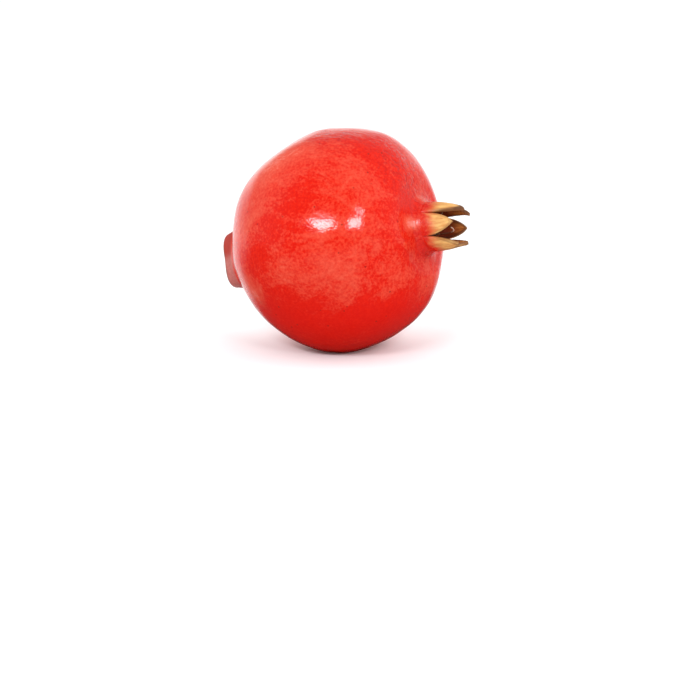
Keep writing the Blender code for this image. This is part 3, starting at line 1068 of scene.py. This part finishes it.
def stub_material():
    paint = Paint("cut stalk")
    grown = paint.attribute("grown", "Vector")
    cut = paint.attribute("cut")
    fibres = paint.effect(STREAKS, grown, across=1500.0, along=220.0, low=0.3, high=0.72)
    clouds = paint.effect(MOTTLE, grown, scale=700.0, detail=3.0, roughness=0.6, low=0.35, high=0.7)
    bark = paint.blend(fibres, BARK_LIGHT, BARK_DARK)
    bark = paint.blend(clouds * 0.4, BARK_OLIVE, bark)
    x, y, _ = separated(grown)
    radius = distance_from_axis(x, y)
    rings = ((radius * 9000.0).sin() * 0.5 + 0.5) * clouds
    wood = paint.blend(rings, WOOD_DARK, WOOD_LIGHT)
    wood = paint.blend(radius.rising(0.55 * MM, 0.3 * MM), PITH_BROWN, wood)
    paint.set("Base Color", paint.blend(cut, wood, bark))
    paint.set("Roughness", 0.7 + fibres * 0.2)
    paint.bump(fibres * 0.7 + clouds * 0.3, 0.12 * MM)
    return paint.material


def floor_material():
    """White to the camera, and light grey where it throws light on the fruit.

    The fruit mirrors it dark, but for the open floor behind, which gives the fruit its pale rim.
    """
    paint = Paint("pale floor")
    place = paint.coordinates()
    clouds = paint.effect(MOTTLE, place, scale=3.0, detail=3.0, roughness=0.5, low=0.3, high=0.7)
    pale = paint.blend(clouds, grey(0.95), grey(0.94))
    seen = make_node(paint.tree, "ShaderNodeLightPath", {}, "Is Camera Ray")
    mirrored = make_node(paint.tree, "ShaderNodeLightPath", {}, "Is Glossy Ray")
    x, y, _ = separated(place)
    away = distance_from_axis(x, y)
    towards_camera = x * math.sin(VIEW_AZIMUTH) - y * math.cos(VIEW_AZIMUTH)
    rightmost = x * math.cos(VIEW_AZIMUTH) + y * math.sin(VIEW_AZIMUTH)
    behind = ((towards_camera + rightmost.at_least(0.0) * 0.35) / away).rising(-0.2, -0.85)
    open_floor = away.rising(0.08, 0.3).at_least(rightmost.abs().rising(0.025, 0.045))
    mirror = paint.blend(open_floor * behind, grey(0.9), grey(0.05))
    unseen = paint.blend(mirrored, mirror, grey(0.74))
    paint.set("Base Color", paint.blend(seen, pale, unseen))
    paint.set("Roughness", 0.7 + clouds * 0.05)
    return paint.material


# The stage: floor, lights and camera


def camera_axes():
    """Unit vectors to the right of the picture, up it, and out of it towards the camera."""
    azimuth, elevation = VIEW_AZIMUTH, VIEW_ELEVATION
    outwards = Vector((math.sin(azimuth) * math.cos(elevation), -math.cos(azimuth) * math.cos(elevation),
                       math.sin(elevation)))
    rightwards = Vector((math.cos(azimuth), math.sin(azimuth), 0.0))
    return rightwards, outwards.cross(rightwards), outwards


def aim(obj, target):
    obj.rotation_euler = (target - obj.location).to_track_quat("-Z", "Y").to_euler()


def make_camera():
    rightwards, upwards, outwards = camera_axes()
    half = 0.5 * FRAME_PIXELS
    off_right = (half - MIDDLE_IN_FRAME[0]) * PIXEL
    off_down = (half - MIDDLE_IN_FRAME[1]) * PIXEL
    camera = add_object("camera", bpy.data.cameras.new("camera"))
    camera.location = CENTRE + outwards * VIEW_DISTANCE
    aim(camera, CENTRE + rightwards * off_right - upwards * off_down)
    camera.data.sensor_width = SENSOR_WIDTH
    camera.data.lens = SENSOR_WIDTH * VIEW_DISTANCE / (FRAME_PIXELS * PIXEL)
    bpy.context.scene.camera = camera


def make_softbox(name, right, up, width, height, power):
    """A soft light, seen from the fruit at this many degrees to the right of the camera and above it."""
    rightwards, upwards, outwards = camera_axes()
    yaw, pitch = math.radians(right), math.radians(up)
    heading = (rightwards * math.sin(yaw) * math.cos(pitch) + upwards * math.sin(pitch)
               + outwards * math.cos(yaw) * math.cos(pitch))
    light = bpy.data.lights.new(name, "AREA")
    light.shape = "ELLIPSE"
    light.size = width
    light.size_y = height
    light.energy = power
    light.color = SOFTBOX_COLOUR
    obj = add_object(name, light)
    obj.location = CENTRE + heading * SOFTBOX_DISTANCE
    aim(obj, CENTRE)


def make_room():
    """White to the camera, and lighting the fruit more from the sides than from overhead or in front.

    The fruit mirrors it dim, but for a low stretch behind, which gives the fruit its pale rim.
    """
    world = bpy.data.worlds.new("white room")
    world.use_nodes = True
    tree = world.node_tree
    heading = make_node(tree, "ShaderNodeTexCoord", {}, "Generated")
    rightwards, _, outwards = camera_axes()
    towards_camera = dot(heading, outwards)
    rightmost = dot(heading, rightwards)
    overhead = separated(heading)[2]
    front = towards_camera.rising(0.0, 0.9)
    from_right = rightmost.rising(0.2, 0.9) * (1.5 - overhead.rising(0.1, 0.7) * 0.7)
    from_left = rightmost.rising(-0.2, -0.9) * 0.5
    lighting = 1.38 - overhead.rising(0.2, 0.9) * 0.3 + (from_right + from_left) - front * 0.9
    behind = (towards_camera + rightmost.at_least(0.0) * 0.22).rising(-0.54, -0.95)
    reflected = 0.24 + behind * overhead.rising(0.4, 0.1) * 1.05 - front * 0.2
    mirrored = make_node(tree, "ShaderNodeLightPath", {}, "Is Glossy Ray")
    strength = either(mirrored, reflected, lighting)
    background = tree.nodes["Background"]
    connect(background.inputs["Strength"], strength)
    background.inputs["Color"].default_value = (1.0, 1.0, 1.0, 1.0)
    bpy.context.scene.world = world


def make_stage():
    mesh = bpy.data.meshes.new("floor")
    work = bmesh.new()
    bmesh.ops.create_circle(work, cap_ends=True, segments=64, radius=FLOOR_RADIUS)
    work.to_mesh(mesh)
    work.free()
    floor = add_object("floor", mesh)
    mesh.materials.append(floor_material())
    make_room()
    for name, values in SOFTBOXES.items():
        make_softbox(name, *values)
    bpy.context.scene.view_settings.view_transform = "Standard"


make_stage()
make_camera()
make_skin(rind_material())
make_stamens(stamen_material())
make_stub(stub_material())
